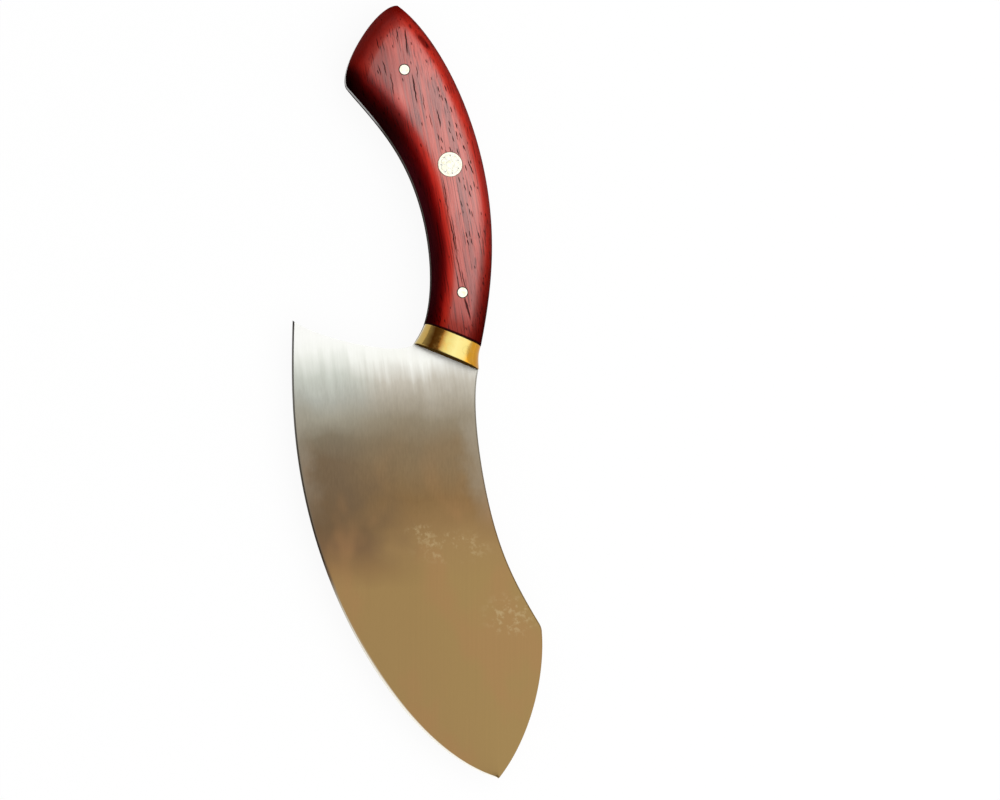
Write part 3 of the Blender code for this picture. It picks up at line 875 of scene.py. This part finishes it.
def veinMask(drawing):
    wide, long = woodLook["veinStretch"]
    masks = []
    for x, y, endX, endY, width, depth in woodLook["veins"]:
        turn = math.atan2(endX - x, y - endY)
        middle, half = ((x + endX) / 2, (y + endY) / 2), math.hypot(endX - x, endY - y) / 2
        masks.append(spot(drawing, middle, (width * wide, half * long), turn, depth=depth))
    return strongest(masks)


def poreMask(drawing, across):
    # The large pores one by one, and smaller ones scattered as dashes, more of them towards the spine
    look = woodLook
    masks = [spot(drawing, place, *look["pore"]) for place in look["pores"]]
    grain = placed(placed(drawing, look["smallTurn"]), stretch=look["smallStretch"])
    cells = addNode("TexVoronoi", {"Vector": grain, "Scale": 1.0, "Randomness": 1.0}).outputs
    drawn = plus(xyzOf(cells["Color"])[0], times(across, look["smallSpread"]))
    small = patch(cells["Distance"], drawn, look["smallSize"], look["smallChosen"])
    return strongest(masks + [small])


def makeWood():
    look = woodLook
    material = startMaterial("handleWood")
    drawing = drawingOf()
    across, along = mapOf()
    grain = placed(drawing, look["grainTurn"])
    zone = plus(across, noise(grain, **look["sway"]))
    colour = ramp(zone, look["groundAndShade"])
    # Broad streaks and fine fibres along the grain; the broad streaks also dim the painted sheen
    bands, fibres, hairs = (noise(grain, **look[kind]) for kind in ("bands", "fibres", "hairs"))
    # The painted sheen lies on the crown, varied by the fibres, orange towards the spine side
    paintedSheen = times(patch(zone, zone, *look["paintedSheenAcross"]), ramp(along, look["paintedSheenLevels"]))
    orange = fade(plus(across, swing(bands, look["orangeSwing"])), *look["orangeSide"])
    paintedSheenTone = blendColour(orange, look["paintedSheen"], look["paintedSheenOrange"])
    colour = blendColour(times(paintedSheen, fade(fibres, *look["paintedSheenByFibre"])), colour, paintedSheenTone)
    colour = blendColour(times(paintedSheen, fade(bands, *look["dimmedSheenByBand"])), colour, look["dimmedSheen"])
    # Darker fibres and hairs in the grain, darker at the neck and on a dusky patch of the butt, and painted
    # shade along the edge side of the butt
    neck, buttSideShade, buttEnd = (patch(along, across, *look[end]) for end in ("neck", "buttSideShade", "buttEnd"))
    ends = strongest([neck, buttSideShade, spot(drawing, *look["dusk"])])
    for mask in (fade(fibres, *look["shadeByFibre"]), fade(hairs, *look["shadeByHair"]), ends):
        colour = blendColour(mask, colour, look["shade"], "MULTIPLY")
    colour = blendColour(buttEnd, colour, look["deep"])
    colour = scaledBy(colour, times(ramp(along, look["groundLevels"]), fade(bands, *look["levelByBand"])))
    # Dark marks: the joint with the bolster, rings round the pins, veins and pores
    marks = [fade(along, *look["joint"])]
    for node in handlePins:
        middle, radius = drawnPlace(node, milli)
        marks.append(spot(drawing, middle, (radius + look["ringPast"],) * 2, 0.0, *look["ring"]))
    wobble = addNode("CombineXYZ", {0: noise(drawing, **look["wobble"])}).outputs[0]
    wavy = addNode("VectorMath", {0: drawing, 1: wobble}, operation="ADD").outputs[0]
    pores = poreMask(wavy, across)
    marks = fade(strongest([veinMask(wavy), pores] + marks), *look["markFade"])
    colour = blendColour(times(marks, look["markDepth"]), colour, look["dark"])
    coat = times(ramp(across, look["coatAcross"]), ramp(along, look["coatAlong"]))
    coat = times(coat, fade(marks, *look["coatByMarks"]), fade(neck, *look["coatByNeck"]))
    height = calc("SUBTRACT", times(fibres, look["fibreHeight"]), pores)
    shade({**look["shader"], "Base Color": colour, "Coat Weight": coat})
    shade({"Normal": bump(height, *look["bump"])})
    return material


def scratch(vector, look):
    lines = noise(vector, **look["scratches"])
    shade({"Roughness": fade(lines, *noiseSpan, *look["roughness"]), "Normal": bump(lines, *look["bump"])})


brassLook = {
    "shader": {"Specular IOR Level": 0.0},
    # painted reflection bands from the spine side to the edge side: orange-gold, a pale highlight, a dark
    # band, then muted gold
    "paintedReflectionBands": (
        (0.00, (190, 146, 86)), (0.09, (196, 138, 46)), (0.23, (206, 148, 44)), (0.30, (192, 174, 104)),
        (0.45, (194, 182, 118)), (0.60, (178, 158, 90)), (0.68, (132, 86, 32)), (0.80, (106, 60, 12)),
        (0.88, (190, 154, 82)), (1.00, (192, 170, 104)),
    ),
    "worn": (196, 150, 74),
    "wornByCloud": (0.50, 0.75, 0.0, 0.35),
    "clouds": {"scale": 0.4},
    "cloudSwing": 0.05,
    # painted shade on the face towards the blade
    "faceShade": (72, 50, 16),
    "faceShadeFacing": (0.85, 0.95),
    "metalByFaceShade": (0.3, 0.7, 1.0, 0.0),
    "scratches": {"detail": 2.0, "stretch": (0.2, 3.0, 0.2)},
    "roughness": (0.12, 0.20),
    "bump": (0.04, 0.0001),
}


def makeBrass():
    look = brassLook
    material = startMaterial("bolsterBrass")
    drawing = drawingOf()
    width = bolsterShape["width"] * milli
    across = plus(dot(drawing, (*(-acrossBolster / width), 0)), 0.5)
    clouds = noise(drawing, **look["clouds"])
    # The bolster's colour carries painted reflection bands across it
    colour = ramp(plus(across, swing(clouds, look["cloudSwing"])), look["paintedReflectionBands"])
    colour = blendColour(fade(clouds, *look["wornByCloud"]), colour, look["worn"])
    # The face towards the blade is painted dark as shade, and is not metal there
    facing = addNode("NewGeometry").outputs["True Normal"]
    faceShade = fade(dot(facing, (*-alongBolster, 0)), *look["faceShadeFacing"])
    shade({**look["shader"], "Base Color": blendColour(faceShade, colour, look["faceShade"])})
    shade({"Metallic": fade(faceShade, *look["metalByFaceShade"])})
    scratch(placed(drawing, bolsterShape["tilt"]), look)
    return material


pinLook = {
    "shader": {"Metallic": 1.0},
    "bright": (212, 210, 192),
    "dull": (194, 191, 168),
    "clouds": {"scale": 0.9},
    "scratches": {"detail": 2.0, "stretch": (4.0, 0.3, 0.3), "turn": 0.5},
    "roughness": (0.18, 0.28),
    "bump": (0.05, 0.0001),
}


def makePinMetal():
    look = pinLook
    material = startMaterial("pinNickelSilver")
    drawing = drawingOf()
    clouds = fade(noise(drawing, **look["clouds"]), *cloudSpan)
    shade({**look["shader"], "Base Color": blendColour(clouds, look["bright"], look["dull"])})
    scratch(drawing, look)
    return material


resinLook = {
    "shader": {"Roughness": 0.3, "Coat Weight": 0.6, "Coat Roughness": 0.1},
    "light": (250, 249, 240),
    "dull": (228, 225, 206),
    "clouds": {"scale": 1.5},
    "speck": (96, 90, 66),
    # directions of the dark specks by the tube, in degrees, then reach, turn, core and depth of each
    "speckTurns": (29, 90, 131, 184, 236, 285, 335),
    "speckInset": 0.35,
    "speckSpot": ((0.34, 0.34), 0.0, 0.5, 0.9),
    "ripple": {"scale": 3.0, "detail": 2.0},
    "bump": (0.05, 0.00005),
}


def makeResin():
    look = resinLook
    material = startMaterial("pinResin")
    drawing = drawingOf()
    clouds = fade(noise(drawing, **look["clouds"]), *cloudSpan)
    colour = blendColour(clouds, look["light"], look["dull"])
    (x, y), radius = drawnPlace("mosaic_resin", milli)
    out = radius - look["speckInset"]
    specks = []
    for turn in look["speckTurns"]:
        angle = math.radians(turn)
        place = (x + out * math.cos(angle), y + out * math.sin(angle))
        specks.append(spot(drawing, place, *look["speckSpot"]))
    colour = blendColour(strongest(specks), colour, look["speck"])
    ripple = noise(drawing, **look["ripple"])
    shade({**look["shader"], "Base Color": colour, "Normal": bump(ripple, *look["bump"])})
    return material


def drawnPlace(node, unit=1.0):
    low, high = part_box(node)
    place = (((low.x + high.x) / 2 - datum.x) * unit, ((low.y + high.y) / 2 - datum.y) * unit)
    return place, (high.x - low.x) / 2 * unit


def holeFor(node):
    place, radius = drawnPlace(node)
    return place, radius + pinShape["clearance"]


steel, wood, brass, pinMetal, resin = makeSteel(), makeWood(), makeBrass(), makePinMetal(), makeResin()
print("materials ready")


# Blade with its tang, two scales, two bolster cheeks
blade = sheetBody("bladeGround", bladeGrids(), lambda z: -z, bladeShape["sharpAngle"])
seat = bladeShape["thickness"] / 2 - handleShape["tangRelief"] + handleShape["bondGap"]
scales = twins("scale%sWood", scaleGrid(), seat, handleShape["sharpAngle"])
seat = bladeShape["thickness"] / 2 + handleShape["bondGap"]
bolsters = twins("bolster%sBrass", bolsterGrid(), seat, bolsterShape["sharpAngle"])
print("blade, scales and bolster lofted")

woodTops, brassTops = ((topOf(pair[0], 1), topOf(pair[1], -1)) for pair in (scales, bolsters))
for node in handlePins[:2]:
    dress(bar(node + "_head", *drawnPlace(node), woodTops), node, pinMetal)
tube = bar("mosaicTubeHead", *drawnPlace("mosaic_tube"), woodTops, hole=holeFor("mosaic_resin")[1])
dress(tube, "mosaic_tube", pinMetal)
filling = bar("mosaicResinFill", *drawnPlace("mosaic_resin"), woodTops, flush=True)
rods = ["mosaic_centre_rod"] + [f"mosaic_rod_{i}" for i in range(1, 8)]
for node in rods:
    dress(bar(node + "_head", *drawnPlace(node), woodTops, crisp=True), node, pinMetal)
bore([filling], [holeFor(node) for node in rods])
dress(filling, "mosaic_resin", resin)
for node in bolsterPins:
    dress(bar(node + "_head", *drawnPlace(node), brassTops, flush=True), node, brass)
bore([blade, *scales], [holeFor(node) for node in handlePins])
bore([blade, *bolsters], [holeFor(node) for node in bolsterPins])
dress(blade, "blade", steel)
for obj, node in zip(scales, ("scale_front", "scale_rear")):
    dress(obj, node, wood)
for obj, node in zip(bolsters, ("bolster_front", "bolster_rear")):
    dress(obj, node, brass)
print("pins set and holes bored")

studio = {
    "floorRadius": 6.0,
    "flatRadius": 4.5,
    "rimHeight": 1.2,
    "rimSteps": 13,
    "floorSides": 72,
    "floorMerge": 0.0001,
    "floorWhite": 0.92,
    "paperTone": 0.95,
    "worldLevel": 0.4,
    "boxDistance": 1.9,
    "boxLean": (math.radians(19.5), math.radians(-9.5)),
    "boxSpread": (math.radians(30.5), math.radians(45.5)),
    "boxRadiance": 1.5,
    "fillDistance": 1.8,
    "fillSize": (1.0, 1.8),
    # low lights beside the object: where they stand and how bright they are
    "fills": (
        ("sideFill", (0.90, -0.10, 0.42), 0.6),
        ("leftFill", (-0.94, 0.0, 0.34), 0.3),
        ("tipFill", (0.0, -0.94, 0.34), 0.4),
        ("buttFill", (0.0, 0.94, 0.34), 0.3),
    ),
}


def makeFloor():
    # A flat disc whose rim rises in a quarter bend, turned round the upright axis
    bm = bmesh.new()
    bend = studio["floorRadius"] - studio["flatRadius"]
    profile = [(0, 0)] + [
        (studio["flatRadius"] + bend * math.sin(turn), studio["rimHeight"] * (1 - math.cos(turn)))
        for turn in np.linspace(0, math.pi / 2, studio["rimSteps"])
    ]
    verts = [bm.verts.new((x, 0, z)) for x, z in profile]
    edges = [bm.edges.new(pair) for pair in zip(verts, verts[1:])]
    bmesh.ops.spin(
        bm, geom=verts + edges, axis=(0, 0, 1), cent=(0, 0, 0), steps=studio["floorSides"], angle=2 * math.pi
    )
    bmesh.ops.remove_doubles(bm, verts=bm.verts, dist=studio["floorMerge"])
    mesh = bpy.data.meshes.new("floor")
    bm.to_mesh(mesh)
    bm.free()
    mesh.shade_smooth()
    material = startMaterial("floorPaper")
    tree.nodes.clear()
    # Full white to the camera and in mirrors, plain paper to the light
    path = addNode("LightPath").outputs
    seen = strongest([path[ray] for ray in ("Is Camera Ray", "Is Glossy Ray", "Is Transmission Ray")])
    seen = times(seen, studio["floorWhite"])
    paper = addNode("BsdfDiffuse", {"Color": (studio["paperTone"],) * 3 + (1,)}).outputs[0]
    white = addNode("Emission").outputs[0]
    mixed = addNode("MixShader", {0: seen, 1: paper, 2: white}).outputs[0]
    addNode("OutputMaterial", {"Surface": mixed})
    mesh.materials.append(material)
    newObject("floor", mesh)


def turnTo(away, up):
    side = Vector(up).cross(away).normalized()
    return Matrix((side, away.cross(side), away)).transposed().to_4x4()


def softLight(name, direction, distance, size, radiance):
    # An area light facing the cleaver; its power follows from the brightness of its face
    lamp = bpy.data.lights.new(name, "AREA")
    lamp.shape = "RECTANGLE"
    lamp.size, lamp.size_y = size
    lamp.energy = radiance * math.pi * size[0] * size[1]
    obj = newObject(name, lamp)
    obj.visible_camera = False
    away = Vector(direction).normalized()
    up = (0, 1, 0) if abs(away.y) < 0.7 else (0, 0, 1)
    obj.matrix_world = Matrix.Translation(away * distance) @ turnTo(away, up)


def makeStudio():
    makeFloor()
    world = bpy.data.worlds.new("studioRoom")
    bpy.context.scene.world = world
    world.use_nodes = True
    feed(world.node_tree.nodes["Background"], {"Color": (1, 1, 1, 1), "Strength": studio["worldLevel"]})
    reach = studio["boxDistance"]
    size = tuple(2 * reach * math.tan(angle) for angle in studio["boxSpread"])
    direction = (math.tan(studio["boxLean"][0]), math.tan(studio["boxLean"][1]), 1)
    softLight("softBox", direction, reach, size, studio["boxRadiance"])
    for name, place, radiance in studio["fills"]:
        size = studio["fillSize"] if abs(place[0]) > abs(place[1]) else studio["fillSize"][::-1]
        softLight(name, place, studio["fillDistance"], size, radiance)
    bpy.context.scene.view_settings.view_transform = "Standard"


camera = {
    "aim": (0.03332, -0.00364, 0.0116),
    "tilt": math.radians(9),
    "lean": (-0.85, -0.5268),
    "distance": 1.7,
    "lens": 153.0,
    "sensor": 36.0,
}


def makeCamera():
    data = bpy.data.cameras.new("camera")
    data.lens = camera["lens"]
    data.sensor_width = camera["sensor"]
    obj = newObject("camera", data)
    lean = Vector(camera["lean"]).normalized() * math.sin(camera["tilt"])
    away = Vector((lean.x, lean.y, math.cos(camera["tilt"])))
    place = Vector(camera["aim"]) + away * camera["distance"]
    obj.matrix_world = Matrix.Translation(place) @ turnTo(away, (0, 1, 0))
    bpy.context.scene.camera = obj


makeStudio()
makeCamera()
print("studio and camera set")
